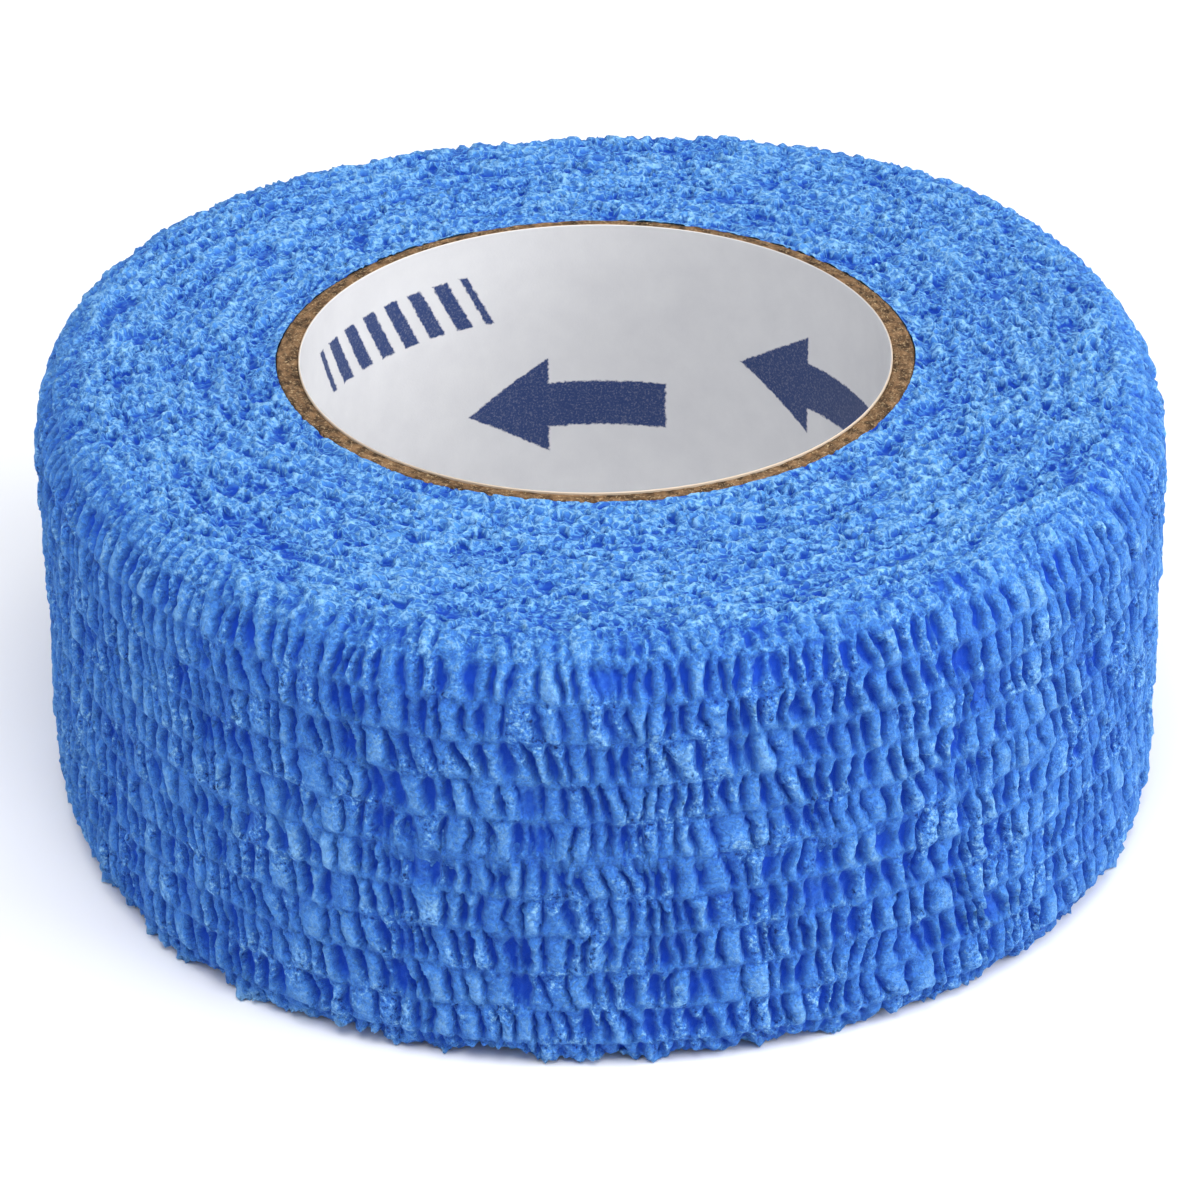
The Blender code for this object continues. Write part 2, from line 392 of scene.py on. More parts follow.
def shaped(piece, tree, cloth, sizes):
    """The piece with its mesh replaced by what the tree makes of it at these sizes."""
    modifier = piece.modifiers.new("shaping", "NODES")
    modifier.node_group = tree
    for item in tree.interface.items_tree:
        if item.name == "Cloth":
            modifier[item.identifier] = cloth
        elif item.name in sizes:
            modifier[item.identifier] = float(sizes[item.name])
    graph = bpy.context.evaluated_depsgraph_get()
    mesh = bpy.data.meshes.new_from_object(piece.evaluated_get(graph), depsgraph=graph)
    piece.modifiers.clear()
    piece.data = mesh
    return piece


def pucker_row():
    """How high one row of puckers stands at a place in it, from 0 in a valley to about 1."""
    sizes = ("Around", "Row", "Below middle", "Pucker pitch", "Seed")
    tree, size = new_shaping("pucker_row", sizes, result="NodeSocketFloat")
    # the puckers of two rows run on from each other in one place and are staggered in the next,
    # and those of one row lean together, here one way and there the other
    slow = add(tree, "ShaderNodeMath", {0: size["Around"], 1: 0.05}, operation="MULTIPLY")
    row_step = add(
        tree, "ShaderNodeMath", {0: size["Row"], 1: 0.55, 2: size["Seed"]}, operation="MULTIPLY_ADD"
    )
    drift = add(tree, "ShaderNodeCombineXYZ", {0: slow, 1: row_step})
    drift = add(
        tree, "ShaderNodeTexNoise", {"Vector": drift, "Scale": 1.0, "Detail": 1.0}, noise_dimensions="2D"
    )
    quick = add(tree, "ShaderNodeMath", {0: slow, 1: 7.0}, operation="MULTIPLY")
    row_leap = add(tree, "ShaderNodeMath", {0: row_step, 1: 8.0}, operation="MULTIPLY")
    lean = add(tree, "ShaderNodeCombineXYZ", {0: quick, 1: row_leap})
    lean = add(tree, "ShaderNodeTexNoise", {"Vector": lean, "Scale": 1.0}, noise_dimensions="2D")
    lean = add(tree, "ShaderNodeMath", {0: lean, 1: 0.5}, operation="SUBTRACT")
    lean = add(tree, "ShaderNodeMath", {0: lean, 1: size["Below middle"]}, operation="MULTIPLY")
    along = add(tree, "ShaderNodeMath", {0: size["Around"], 1: size["Pucker pitch"]}, operation="DIVIDE")
    along = add(tree, "ShaderNodeMath", {0: drift, 1: 5.0, 2: along}, operation="MULTIPLY_ADD")
    along = add(tree, "ShaderNodeMath", {0: lean, 1: 1.6, 2: along}, operation="MULTIPLY_ADD")
    pucker = {"W": along, "Scale": 1.0, "Randomness": 1.0}
    rim = add(tree, "ShaderNodeTexVoronoi", pucker, voronoi_dimensions="1D", feature="DISTANCE_TO_EDGE")
    own = add(tree, "ShaderNodeTexVoronoi", pucker, voronoi_dimensions="1D", feature="F1")
    key = add(tree, "ShaderNodeCombineXYZ", {0: own.outputs["W"], 1: row_step})
    chance = add(tree, "ShaderNodeTexWhiteNoise", {"Vector": key}, noise_dimensions="2D")
    chance = add(tree, "ShaderNodeSeparateXYZ", {0: chance.outputs["Color"]})
    # a valley is widest near the middle of its row, tapers up or down, and is closed by the threads
    lens = add(tree, "ShaderNodeMath", {0: size["Below middle"]}, operation="ABSOLUTE")
    early = add(tree, "ShaderNodeMapRange", {"Value": chance.outputs[1], "To Min": 1.75, "To Max": 2.2})
    lens = add(tree, "ShaderNodeMath", {0: lens, 1: early}, operation="MULTIPLY")
    lens = add(tree, "ShaderNodeMath", {0: lens, 1: 1.9}, operation="POWER")
    lens = add(tree, "ShaderNodeMath", {0: 1.0, 1: lens}, operation="SUBTRACT")
    lens = add(tree, "ShaderNodeMath", {0: lens, 1: 0.02}, operation="MAXIMUM")
    taper = add(tree, "ShaderNodeMath", {0: chance.outputs[0], 1: 0.5}, operation="SUBTRACT")
    taper = add(tree, "ShaderNodeMath", {0: taper, 1: size["Below middle"]}, operation="MULTIPLY")
    taper = add(tree, "ShaderNodeMath", {0: taper, 1: 3.0, 2: 1.0}, operation="MULTIPLY_ADD")
    shut = add(tree, "ShaderNodeMath", {0: chance.outputs[2], 1: 1.4}, operation="POWER")
    shut = add(tree, "ShaderNodeMath", {0: shut, 1: 0.26}, operation="MULTIPLY")
    shut = add(tree, "ShaderNodeMath", {0: shut, 1: lens}, operation="MULTIPLY")
    shut = add(tree, "ShaderNodeMath", {0: shut, 1: taper}, operation="MULTIPLY")
    full = add(tree, "ShaderNodeMath", {0: lens, 1: chance.outputs[2]}, operation="MULTIPLY")
    full = add(tree, "ShaderNodeMath", {0: full, 1: 0.2, 2: 0.13}, operation="MULTIPLY_ADD")
    full = add(tree, "ShaderNodeMath", {0: full, 1: shut}, operation="ADD")
    ridge = add(tree, "ShaderNodeMapRange", {"Value": rim, "From Min": shut, "From Max": full})
    ridge = add(tree, "ShaderNodeMath", {0: ridge, 1: 0.7}, operation="POWER")
    dome = add(
        tree, "ShaderNodeMapRange", {"Value": rim, "From Max": 0.42, "To Min": 0.82, "To Max": 1.03}
    )
    ridge = add(tree, "ShaderNodeMath", {0: ridge, 1: dome}, operation="MULTIPLY")
    tall = add(tree, "ShaderNodeMapRange", {"Value": chance.outputs[0], "To Min": 0.7, "To Max": 1.1})
    # each pucker leans a little over the next, and here and there one has a round hollow
    past = add(tree, "ShaderNodeMath", {0: own.outputs["W"], 1: along}, operation="SUBTRACT")
    tall = add(tree, "ShaderNodeMath", {0: past, 1: 0.3, 2: tall}, operation="MULTIPLY_ADD")
    missing = add(
        tree,
        "ShaderNodeMapRange",
        {"Value": chance.outputs[1], "From Min": 0.01, "From Max": 0.04, "To Min": 0.85, "To Max": 0.0},
    )
    inward = add(tree, "ShaderNodeMapRange", {"Value": rim, "From Min": 0.02, "From Max": 0.5})
    inward = add(tree, "ShaderNodeMath", {0: inward, 1: lens}, operation="MULTIPLY")
    inward = add(tree, "ShaderNodeMapRange", {"Value": inward, "From Min": 0.12, "From Max": 0.6})
    missing = add(tree, "ShaderNodeMath", {0: missing, 1: inward}, operation="MULTIPLY")
    kept = add(tree, "ShaderNodeMath", {0: 1.0, 1: missing}, operation="SUBTRACT")
    stand = add(tree, "ShaderNodeMath", {0: ridge, 1: tall}, operation="MULTIPLY")
    stand = add(tree, "ShaderNodeMath", {0: stand, 1: kept}, operation="MULTIPLY")
    add(tree, "NodeGroupOutput", {0: stand})
    return tree


def edge_cells(tree, spot, cell_size):
    """The cells that a wound edge shows: the distance to a cell's wall, its chances, and its place."""
    place = add(tree, "ShaderNodeVectorMath", {0: spot, 1: (0.0, 0.0, cloth_seed)}, operation="ADD")
    bent = place
    for scale, share in ((0.9, 0.9), (2.6, 0.35)):
        waver = add(tree, "ShaderNodeTexNoise", {"Vector": place, "Scale": scale, "Detail": 0.0})
        middle = {0: waver.outputs["Color"], 1: (0.5, 0.5, 0.5)}
        waver = add(tree, "ShaderNodeVectorMath", middle, operation="SUBTRACT")
        waver = add(tree, "ShaderNodeVectorMath", {0: waver, "Scale": share}, operation="SCALE")
        bent = add(tree, "ShaderNodeVectorMath", {0: bent, 1: waver}, operation="ADD")
    cell = {"Vector": bent, "Scale": 1 / cell_size, "Randomness": 1.0}
    rim = add(tree, "ShaderNodeTexVoronoi", cell, feature="DISTANCE_TO_EDGE")
    own = add(tree, "ShaderNodeTexVoronoi", cell, feature="F1")
    chance = add(tree, "ShaderNodeSeparateXYZ", {0: own.outputs["Color"]})
    # walls thicken where they meet, so that the cells are round
    round_rim = add(tree, "ShaderNodeMath", {0: 0.64, 1: own.outputs["Distance"]}, operation="SUBTRACT")
    rim = add(tree, "ShaderNodeMath", {0: rim, 1: round_rim}, operation="MINIMUM")
    return rim, chance, place


def crepe():
    """Throws the plain cloth into rows of puckers on the roll's side, and into cells at its edges."""
    tree, size = new_shaping(
        "crepe",
        (
            "Pucker pitch",
            "Row pitch",
            "First row",
            "Pucker depth",
            "Lean",
            "Waver",
            "Lumps",
            "Notches",
            "Notch depth",
            "Cell wall",
            "Cell depth",
            "Seed",
        ),
    )
    field = {
        name: add(tree, "GeometryNodeInputNamedAttribute", {"Name": name}, data_type=kind)
        for name, kind in (
            ("around", "FLOAT"),
            ("down", "FLOAT"),
            ("cover", "FLOAT"),
            ("outward", "FLOAT_VECTOR"),
            ("spot", "FLOAT_VECTOR"),
        )
    }
    place = add(tree, "ShaderNodeCombineXYZ", {0: field["around"], 1: field["down"], 2: size["Seed"]})
    waver = add(
        tree, "ShaderNodeTexNoise", {"Vector": place, "Scale": 0.6, "Detail": 3.0, "Roughness": 0.62}
    )
    middle = {0: waver.outputs["Color"], 1: (0.5, 0.5, 0.5)}
    waver = add(tree, "ShaderNodeVectorMath", middle, operation="SUBTRACT")
    waver = add(tree, "ShaderNodeVectorMath", {0: waver, "Scale": size["Waver"]}, operation="SCALE")
    waver = add(tree, "ShaderNodeSeparateXYZ", {0: waver})
    drift = add(tree, "ShaderNodeTexNoise", {"Vector": place, "Scale": 0.12, "Detail": 1.0})
    drift = add(tree, "ShaderNodeMath", {0: drift, 1: 2.5, 2: field["around"]}, operation="MULTIPLY_ADD")
    around = add(
        tree, "ShaderNodeMath", {0: field["down"], 1: size["Lean"], 2: drift}, operation="MULTIPLY_ADD"
    )
    around = add(tree, "ShaderNodeMath", {0: around, 1: waver.outputs[0]}, operation="ADD")
    down = add(
        tree, "ShaderNodeMath", {0: waver.outputs[1], 1: 0.8, 2: field["down"]}, operation="MULTIPLY_ADD"
    )
    down = add(tree, "ShaderNodeMath", {0: down, 1: size["First row"]}, operation="SUBTRACT")
    down = add(tree, "ShaderNodeMath", {0: down, 1: size["Row pitch"]}, operation="DIVIDE")
    row = add(tree, "ShaderNodeMath", {0: down}, operation="FLOOR")
    way = add(tree, "ShaderNodeMath", {0: down}, operation="FRACT")
    lower = add(tree, "ShaderNodeMath", {0: way, 1: 0.5}, operation="SUBTRACT")
    near = add(tree, "ShaderNodeMath", {0: lower}, operation="ABSOLUTE")
    side = add(tree, "ShaderNodeMath", {0: lower}, operation="SIGN")
    beside = add(tree, "ShaderNodeMath", {0: row, 1: side}, operation="ADD")
    upper = add(tree, "ShaderNodeMath", {0: lower, 1: side}, operation="SUBTRACT")
    rows = pucker_row()
    puckers = []
    for which, below_middle in ((row, lower), (beside, upper)):
        made = add(tree, "GeometryNodeGroup", node_tree=rows)
        for name, value in (("Around", around), ("Row", which), ("Below middle", below_middle)):
            tree.links.new(value.outputs[0], made.inputs[name])
        for name in ("Pucker pitch", "Seed"):
            tree.links.new(size[name], made.inputs[name])
        puckers.append(made)
    shared = add(
        tree,
        "ShaderNodeMapRange",
        {"Value": near, "From Min": 0.36, "From Max": 0.5, "To Max": 0.5},
        interpolation_type="SMOOTHSTEP",
    )
    stand = add(tree, "ShaderNodeMix", {0: shared, 2: puckers[0], 3: puckers[1]})
    # a thread draws ridges and valleys together towards a middle level, and each row hangs over the next
    held = add(
        tree,
        "ShaderNodeMapRange",
        {"Value": near, "From Min": 0.26, "From Max": 0.5},
        interpolation_type="SMOOTHSTEP",
    )
    drawn = add(tree, "ShaderNodeMath", {0: stand, 1: 0.36, 2: 0.35}, operation="MULTIPLY_ADD")
    stand = add(tree, "ShaderNodeMix", {0: held, 2: stand, 3: drawn})
    hang = add(tree, "ShaderNodeMath", {0: way, 1: 0.24, 2: -0.12}, operation="MULTIPLY_ADD")
    stand = add(tree, "ShaderNodeMath", {0: stand, 1: hang}, operation="ADD")
    lumps = add(tree, "ShaderNodeTexNoise", {"Vector": place, "Scale": 1.6, "Detail": 2.0})
    lumps = add(tree, "ShaderNodeMath", {0: lumps, 1: -0.5}, operation="ADD")
    stand = add(tree, "ShaderNodeMath", {0: lumps, 1: size["Lumps"], 2: stand}, operation="MULTIPLY_ADD")

    rim, chance, spot = edge_cells(tree, field["spot"], pit_size)
    wall = add(
        tree,
        "ShaderNodeMapRange",
        {"Value": rim, "From Min": 0.03, "From Max": size["Cell wall"], "To Min": 1.0, "To Max": 0.0},
        interpolation_type="SMOOTHSTEP",
    )
    # walls sag here and there, half the cells are open pits, and a few neighbours sink together
    sag = add(tree, "ShaderNodeTexNoise", {"Vector": spot, "Scale": 1.3, "Detail": 2.0})
    sag = add(
        tree, "ShaderNodeMapRange", {"Value": sag, "From Min": 0.32, "From Max": 0.62, "To Min": 0.6}
    )
    bottom = add(tree, "ShaderNodeMapRange", {"Value": chance.outputs[0], "To Min": 0.2, "To Max": 0.75})
    pit = add(
        tree,
        "ShaderNodeMapRange",
        {"Value": chance.outputs[1], "From Min": 0.46, "From Max": 0.56, "To Min": 0.0},
    )
    bottom = add(tree, "ShaderNodeMath", {0: bottom, 1: pit}, operation="MULTIPLY")
    cells = add(tree, "ShaderNodeMix", {0: wall, 2: bottom, 3: sag})
    sunk = add(tree, "ShaderNodeTexNoise", {"Vector": spot, "Scale": 0.55, "Detail": 0.0})
    sunk = add(
        tree,
        "ShaderNodeMapRange",
        {"Value": sunk, "From Min": 0.26, "From Max": 0.34, "To Min": 0.4},
        interpolation_type="SMOOTHSTEP",
    )
    cells = add(tree, "ShaderNodeMath", {0: cells, 1: sunk}, operation="MULTIPLY")
    # the turns show as faint streaks round the roll; the noise is drawn out along them
    drawn_out = add(tree, "ShaderNodeVectorMath", {0: spot, 1: (0.2, 0.2, 1.5)}, operation="MULTIPLY")
    streak = add(tree, "ShaderNodeTexNoise", {"Vector": drawn_out, "Scale": 1.0, "Detail": 2.0})
    streak = add(
        tree, "ShaderNodeMapRange", {"Value": streak, "From Min": 0.38, "From Max": 0.56, "To Min": 0.5}
    )
    cells = add(tree, "ShaderNodeMath", {0: cells, 1: streak}, operation="MULTIPLY")
    # towards the lower edge the puckers are pressed into a wavy hem with pointed tips
    hem = add(
        tree,
        "ShaderNodeMapRange",
        {
            "Value": field["down"],
            "From Min": foot_down / MM - 1.7,
            "From Max": foot_down / MM - 0.3,
            "To Max": 0.75,
        },
        interpolation_type="SMOOTHSTEP",
    )
    wave = add(
        tree, "ShaderNodeTexNoise", {"Vector": place, "Scale": 0.55, "Detail": 3.0, "Roughness": 0.65}
    )
    wave = add(tree, "ShaderNodeMapRange", {"Value": wave, "From Min": 0.34, "From Max": 0.7})
    wave = add(tree, "ShaderNodeMath", {0: wave, 1: 2.0}, operation="POWER")
    wave = add(tree, "ShaderNodeMath", {0: wave, 1: 2.2, 2: 0.2}, operation="MULTIPLY_ADD")
    stand = add(tree, "ShaderNodeMix", {0: hem, 2: stand, 3: wave})
    # the strip's cut end stands up a little, and the turn under it is pressed in raggedly beside it
    run = add(
        tree,
        "ShaderNodeMath",
        {0: waver.outputs[0], 1: 1.5, 2: field["around"]},
        operation="MULTIPLY_ADD",
    )
    cut = add(
        tree,
        "ShaderNodeMapRange",
        {"Value": run, "From Min": 0.1, "From Max": 0.9, "To Min": 0.7, "To Max": 0.0},
    )
    stand = add(tree, "ShaderNodeMix", {0: cut, 2: stand, 3: 0.95})
    strip_end = 2 * math.pi * mean_radius / MM
    pressed = add(
        tree,
        "ShaderNodeMapRange",
        {"Value": run, "From Min": strip_end - 1.1, "From Max": strip_end - 0.3},
    )
    stand = add(tree, "ShaderNodeMix", {0: pressed, 2: stand, 3: 0.1})
    # the cells of the upper edges run over the shoulder raggedly, where the puckers begin
    ragged = add(tree, "ShaderNodeMath", {0: lumps, 1: 5.0, 2: field["down"]}, operation="MULTIPLY_ADD")
    over = add(tree, "ShaderNodeMapRange", {"Value": ragged, "From Min": 0.2, "From Max": 2.6})
    under = add(
        tree,
        "ShaderNodeMapRange",
        {
            "Value": field["down"],
            "From Min": foot_down / MM - 0.3,
            "From Max": foot_down / MM + 0.5,
            "To Min": 1.0,
            "To Max": 0.0,
        },
    )
    on_side = add(tree, "ShaderNodeMath", {0: over, 1: under}, operation="MULTIPLY")
    stand = add(tree, "ShaderNodeMix", {0: on_side, 2: cells, 3: stand})
    # the first row lies flatter than the rest
    deepen = add(
        tree,
        "ShaderNodeMapRange",
        {"Value": field["down"], "From Min": 0.0, "From Max": 3.0, "To Min": 0.45},
    )
    pucker_depth = add(tree, "ShaderNodeMath", {0: deepen, 1: size["Pucker depth"]}, operation="MULTIPLY")
    depth = add(tree, "ShaderNodeMix", {0: on_side, 2: size["Cell depth"], 3: pucker_depth})
    lift = add(tree, "ShaderNodeMath", {0: stand, 1: -0.95}, operation="ADD")
    lift = add(tree, "ShaderNodeMath", {0: lift, 1: depth}, operation="MULTIPLY")
    lift = add(tree, "ShaderNodeMath", {0: lift, 1: field["cover"]}, operation="MULTIPLY")
    # the innermost turn is stuck down along the board
    stuck = add(
        tree,
        "ShaderNodeMapRange",
        {
            "Value": field["down"],
            "From Min": -face_width / MM,
            "From Max": 0.7 - face_width / MM,
            "To Min": 0.3,
        },
    )
    lift = add(tree, "ShaderNodeMath", {0: lift, 1: stuck}, operation="MULTIPLY")
    shift = add(tree, "ShaderNodeVectorMath", {0: field["outward"], "Scale": lift}, operation="SCALE")

    # how far a point lies below the shoulder, for its colour
    below = add(tree, "ShaderNodeMapRange", {"Value": ragged, "From Min": 0.0, "From Max": 4.0})
    below = add(tree, "ShaderNodeMath", {0: below, 1: under}, operation="MULTIPLY")

    # the lower edge is notched unevenly, and nothing reaches below what the roll rests on
    worn = add(tree, "ShaderNodeTexNoise", {"Vector": place, "Scale": size["Notches"], "Detail": 3.0})
    worn = add(tree, "ShaderNodeMapRange", {"Value": worn, "From Min": 0.5, "From Max": 0.68})
    low = add(
        tree,
        "ShaderNodeMapRange",
        {"Value": field["down"], "From Min": foot_down / MM - 1.6, "From Max": foot_down / MM - 0.2},
    )
    worn = add(tree, "ShaderNodeMath", {0: worn, 1: low}, operation="MULTIPLY")
    worn = add(tree, "ShaderNodeMath", {0: worn, 1: size["Notch depth"]}, operation="MULTIPLY")
    worn = add(tree, "ShaderNodeMath", {0: worn, 1: under}, operation="MULTIPLY")
    worn = add(tree, "ShaderNodeCombineXYZ", {2: worn})
    shift = add(tree, "ShaderNodeVectorMath", {0: shift, 1: worn}, operation="ADD")
    point = add(tree, "GeometryNodeInputPosition")
    point = add(tree, "ShaderNodeVectorMath", {0: point, 1: shift}, operation="ADD")
    point = add(tree, "ShaderNodeVectorMath", {0: point, 1: (-1.0, -1.0, 0.0)}, operation="MAXIMUM")
    cloth = add(tree, "GeometryNodeSetPosition", {"Geometry": size["Geometry"], "Position": point})
    cloth = add(
        tree, "GeometryNodeStoreNamedAttribute", {"Geometry": cloth, "Name": "height", "Value": stand}
    )
    cloth = add(
        tree, "GeometryNodeStoreNamedAttribute", {"Geometry": cloth, "Name": "on_side", "Value": below}
    )
    cloth = add(tree, "GeometryNodeRealizeInstances", {"Geometry": cloth})
    cloth = add(tree, "GeometryNodeSetMaterial", {"Geometry": cloth, "Material": size["Cloth"]})
    add(tree, "NodeGroupOutput", {0: cloth})
    return tree


def crepe_cloth():
    """Latex-bonded nonwoven: a matt web of fine fibres, smooth where it folds inwards; painted shade
    turns the valleys and pits a darker, saturated blue, and painted highlight lightens the crests.
    """
    finish, tree, shader, in_mm = new_finish("latex_bonded_nonwoven", 0.82, 0.2)
    height = add(tree, "ShaderNodeAttribute", attribute_name="height").outputs["Fac"]
    on_side = add(tree, "ShaderNodeAttribute", attribute_name="on_side").outputs["Fac"]
    # real fibres are 0.02 mm thick; the web is drawn several times coarser, so that it shows
    web = add(
        tree, "ShaderNodeTexNoise", {"Vector": in_mm, "Scale": 3.4, "Detail": 3.0, "Roughness": 0.7}
    )
    strands = add(
        tree,
        "ShaderNodeTexNoise",
        {"Vector": in_mm, "Scale": 2.2, "Detail": 2.0, "Roughness": 0.6, "Distortion": 1.4},
    )
    off = add(tree, "ShaderNodeMath", {0: strands, 1: 0.5}, operation="SUBTRACT")
    off = add(tree, "ShaderNodeMath", {0: off}, operation="ABSOLUTE")
    strand = add(
        tree, "ShaderNodeMapRange", {"Value": off, "From Max": 0.03, "To Min": 1.0, "To Max": 0.0}
    )
    # the slit edges are a foam: thin walls, broken here and there, painted pale as highlight, and round
    # cells painted darker as shade, some more than others at random; the floors of the open pits stay
    # smooth
    spot = add(tree, "ShaderNodeAttribute", attribute_name="spot").outputs["Vector"]
    rim, chance, _ = edge_cells(tree, spot, foam_size)
    wall = add(
        tree,
        "ShaderNodeMapRange",
        {"Value": rim, "From Min": 0.03, "From Max": 0.19, "To Min": 1.0, "To Max": 0.0},
        interpolation_type="SMOOTHSTEP",
    )
    broken = add(tree, "ShaderNodeMapRange", {"Value": web, "From Min": 0.34, "From Max": 0.56})
    wall = add(tree, "ShaderNodeMath", {0: wall, 1: broken}, operation="MULTIPLY")
    cells = add(
        tree, "ShaderNodeMath", {0: chance.outputs[2], 1: -0.36, 2: wall}, operation="MULTIPLY_ADD"
    )
    at_edge = add(tree, "ShaderNodeMath", {0: 1.0, 1: on_side}, operation="SUBTRACT")
    cells = add(tree, "ShaderNodeMath", {0: cells, 1: at_edge}, operation="MULTIPLY")
    smooth_floor = add(tree, "ShaderNodeMapRange", {"Value": height, "From Min": 0.1, "From Max": 0.3})
    cells = add(tree, "ShaderNodeMath", {0: cells, 1: smooth_floor}, operation="MULTIPLY")
    # the outside of a fold is rubbed up, the inside stays smooth
    rubbed = add(
        tree, "ShaderNodeMapRange", {"Value": height, "From Min": 0.15, "From Max": 0.6, "To Min": 0.2}
    )
    smooth = add(tree, "ShaderNodeMapRange", {"Value": on_side, "To Min": 0.35, "To Max": 1.0})
    rubbed = add(tree, "ShaderNodeMath", {0: rubbed, 1: smooth}, operation="MULTIPLY")
    # some folds are frayed, with pores darkened by painted shade and fibre ends lightened by painted
    # glints, and the rest are nearly smooth
    frayed = add(tree, "ShaderNodeTexNoise", {"Vector": in_mm, "Scale": 0.42, "Detail": 2.0})
    frayed = add(tree, "ShaderNodeMapRange", {"Value": frayed, "From Min": 0.48, "From Max": 0.62})
    frayed = add(tree, "ShaderNodeMath", {0: frayed, 1: rubbed}, operation="MULTIPLY")
    gain = add(tree, "ShaderNodeMath", {0: frayed, 1: 2.4, 2: 1.3}, operation="MULTIPLY_ADD")
    speck = add(tree, "ShaderNodeMath", {0: web, 1: -0.5}, operation="ADD")
    speck = add(tree, "ShaderNodeMath", {0: speck, 1: rubbed}, operation="MULTIPLY")
    speck = add(tree, "ShaderNodeMath", {0: speck, 1: gain}, operation="MULTIPLY")
    # painted shade: the lower a point lies in a valley or pit, the darker it is coloured, and the higher
    # on a crest, the lighter
    tone = add(tree, "ShaderNodeMath", {0: cells, 1: 0.9, 2: height}, operation="MULTIPLY_ADD")
    tone = add(tree, "ShaderNodeMath", {0: tone, 1: speck}, operation="ADD")
    # painted highlight: glints on fibre ends lighten the frayed folds in small flecks
    fibre_end_glint = add(tree, "ShaderNodeMapRange", {"Value": web, "From Min": 0.58, "From Max": 0.66})
    fibre_end_glint = add(tree, "ShaderNodeMath", {0: fibre_end_glint, 1: frayed}, operation="MULTIPLY")
    tone = add(tree, "ShaderNodeMath", {0: fibre_end_glint, 1: 0.5, 2: tone}, operation="MULTIPLY_ADD")
    # the dye took unevenly over some millimetres
    dye = add(tree, "ShaderNodeTexNoise", {"Vector": in_mm, "Scale": 0.2, "Detail": 2.0})
    tone = add(tree, "ShaderNodeMath", {0: dye, 1: 0.5, 2: tone}, operation="MULTIPLY_ADD")
    tone = add(tree, "ShaderNodeMath", {0: tone, 1: 0.25}, operation="SUBTRACT")
    body = add(tree, "ShaderNodeMapRange", {"Value": tone, "From Min": 0.06, "From Max": 0.92})
    # painted shade: the valley colours stand in for shade in the valleys and pits; the middle colours are
    # the cloth's own blue
    valley_shade_side, valley_shade_edge = linear("#0A40B2"), linear("#063AA2")
    middle_side, middle_edge = linear("#4282D6"), linear("#4D90DA")
    valley_shade = add(tree, "ShaderNodeMix", {0: on_side, 6: valley_shade_edge, 7: valley_shade_side}, data_type="RGBA")
    middle = add(tree, "ShaderNodeMix", {0: on_side, 6: middle_edge, 7: middle_side}, data_type="RGBA")
    colour = add(tree, "ShaderNodeMix", {0: body, 6: valley_shade, 7: middle}, data_type="RGBA")
    # painted highlight: where the tone is highest, on the crests, the foam's walls and the flecks, the
    # colour turns pale blue; the fibre strands add their own lighter colour
    highlight_and_strands = add(tree, "ShaderNodeMath", {0: strand, 1: 0.3, 2: tone}, operation="MULTIPLY_ADD")
    highlight_and_strands = add(tree, "ShaderNodeMapRange", {"Value": highlight_and_strands, "From Min": 0.9, "From Max": 1.7})
    colour = add(tree, "ShaderNodeMix", {0: highlight_and_strands, 6: colour, 7: linear("#8CC2F2")}, data_type="RGBA")
    # painted shade: the pores of the frayed folds on the side are darkened, as shade in the small holes
    # of the web
    pore = add(tree, "ShaderNodeMapRange", {"Value": web, "From Min": 0.42, "From Max": 0.34})
    pore = add(tree, "ShaderNodeMath", {0: pore, 1: frayed}, operation="MULTIPLY")
    pore = add(tree, "ShaderNodeMath", {0: pore, 1: on_side}, operation="MULTIPLY")
    pore = add(tree, "ShaderNodeMath", {0: pore, 1: -0.7, 2: 1.0}, operation="MULTIPLY_ADD")
    colour = add(tree, "ShaderNodeVectorMath", {0: colour.outputs[2], "Scale": pore}, operation="SCALE")
    relief = add(tree, "ShaderNodeMath", {0: strand, 1: 0.2, 2: web}, operation="MULTIPLY_ADD")
    relief = add(tree, "ShaderNodeMath", {0: relief, 1: rubbed}, operation="MULTIPLY")
    relief = add(tree, "ShaderNodeMath", {0: cells, 1: 0.25, 2: relief}, operation="MULTIPLY_ADD")
    bump = add(tree, "ShaderNodeBump", {"Height": relief, "Strength": 1.0, "Distance": 0.3 * MM})
    tree.links.new(colour.outputs[0], shader.inputs["Base Color"])
    tree.links.new(bump.outputs[0], shader.inputs["Normal"])
    shader.inputs["Sheen Weight"].default_value = 0.22
    shader.inputs["Sheen Roughness"].default_value = 0.5
    shader.inputs["Sheen Tint"].default_value = linear("#8FD4FF")
    return finish


crepe_tree = crepe()
cloth_finish = crepe_cloth()
# lengths along the cloth are in millimetres, and depths in metres
crepe_sizes = {
    "Pucker pitch": 1.02,
    "Row pitch": row_pitch / MM,
    "First row": first_thread / MM,
    "Pucker depth": 0.64 * MM,
    "Lean": 0.12,
    "Waver": 1.2,
    "Lumps": 0.3,
    "Notches": 0.36,
    "Notch depth": 1.0 * MM,
    "Cell wall": 0.28,
    "Cell depth": 0.62 * MM,
    "Seed": cloth_seed,
}
middle_thread = first_thread + 6 * row_pitch
for name, top, bottom, rows in (
    ("upper_edges_inner", -face_width, -face_width / 2, 60),
    ("upper_edges_outer", -face_width / 2, first_thread, 62),
    ("outer_turn_upper", first_thread, middle_thread, 61),
    ("outer_turn_lower", middle_thread, foot_down, 61),
    ("lower_edges", foot_down, line_down[-1], 42),
):
    band = cloth_band(name, top, bottom, rows)
    shaped(band, crepe_tree, cloth_finish, crepe_sizes)
    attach(band, "root")
    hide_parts("bandage_roll")


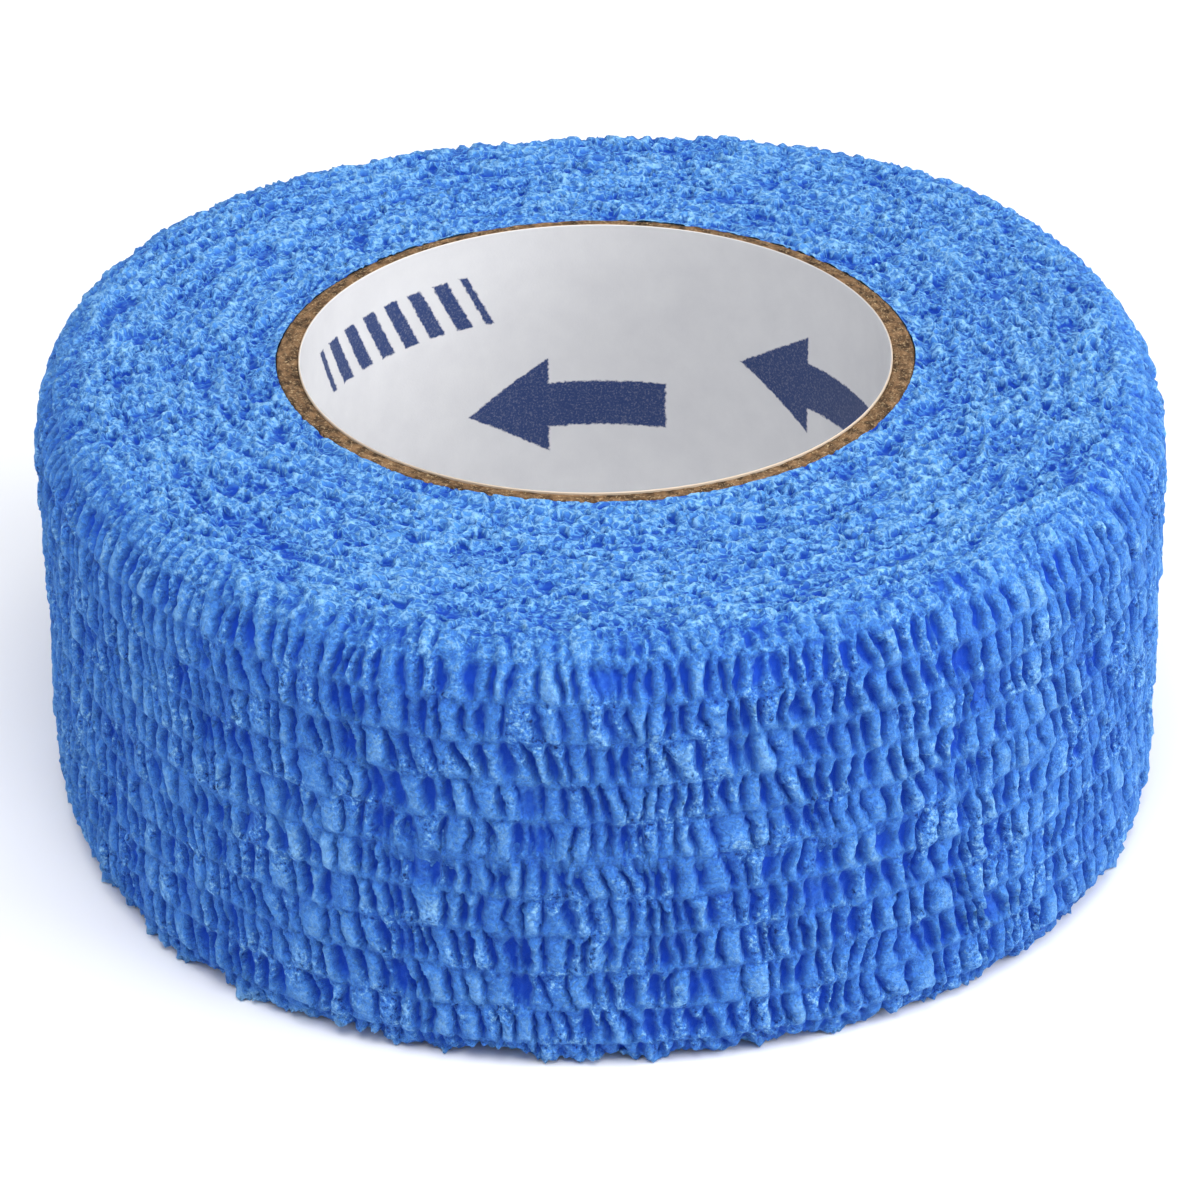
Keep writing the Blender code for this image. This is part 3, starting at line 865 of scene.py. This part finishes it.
# The stage. A pale floor, soft lights all round that are strongest from above and from the right, and
# the photograph's camera, 30 degrees above the roll.
floor_mesh = bpy.data.meshes.new("floor")
floor_mesh.from_pydata([(-3, -3, 0), (3, -3, 0), (3, 3, 0), (-3, 3, 0)], [], [(0, 1, 2, 3)])
floor = bpy.data.objects.new("floor", floor_mesh)
bpy.context.scene.collection.objects.link(floor)
floor_finish, _, floor_shader, _ = new_finish("pale_floor", 0.9, 0.1)
floor_shader.inputs["Base Color"].default_value = linear("#F1F2F4")
floor_mesh.materials.append(floor_finish)

roll_middle = mathutils.Vector((0, 0, strip_width / 2))
for name, place, width, power in (
    ("softbox_above", (0.0, -0.25, 0.6), 0.4, 3.35),
    ("softbox_left", (-0.45, -0.1, 0.2), 0.4, 0.74),
    ("softbox_right", (0.5, -0.16, 0.3), 0.5, 4.0),
    ("softbox_front", (0.0, -0.7, 0.5), 0.5, 0.25),
    ("softbox_back", (-0.2, 0.7, 0.3), 0.5, 1.3),
):
    lamp = bpy.data.lights.new(name, "AREA")
    lamp.energy = power
    lamp.size = width
    light = bpy.data.objects.new(name, lamp)
    light.location = place
    light.rotation_euler = (roll_middle - light.location).to_track_quat("-Z", "Y").to_euler()
    bpy.context.scene.collection.objects.link(light)

world = bpy.data.worlds.new("studio")
world.use_nodes = True
world.node_tree.nodes["Background"].inputs["Color"].default_value = linear("#EEF3FF")
world.node_tree.nodes["Background"].inputs["Strength"].default_value = 0.25
bpy.context.scene.world = world
bpy.context.scene.view_settings.view_transform = "Standard"

look_at = mathutils.Vector((0.12 * MM, 0, 9.46 * MM))
eye = mathutils.Vector((0.12 * MM, -224.65 * MM, 138.85 * MM))
lens = bpy.data.cameras.new("camera")
lens.lens = 135.65
lens.sensor_width = 36.0
lens.clip_start = 10 * MM
camera = bpy.data.objects.new("camera", lens)
tilt = mathutils.Matrix.Rotation(math.radians(-0.55), 3, "Z")  # the photograph leans by half a degree
camera.rotation_euler = ((look_at - eye).to_track_quat("-Z", "Y").to_matrix() @ tilt).to_euler()
camera.location = eye
bpy.context.scene.collection.objects.link(camera)
bpy.context.scene.camera = camera
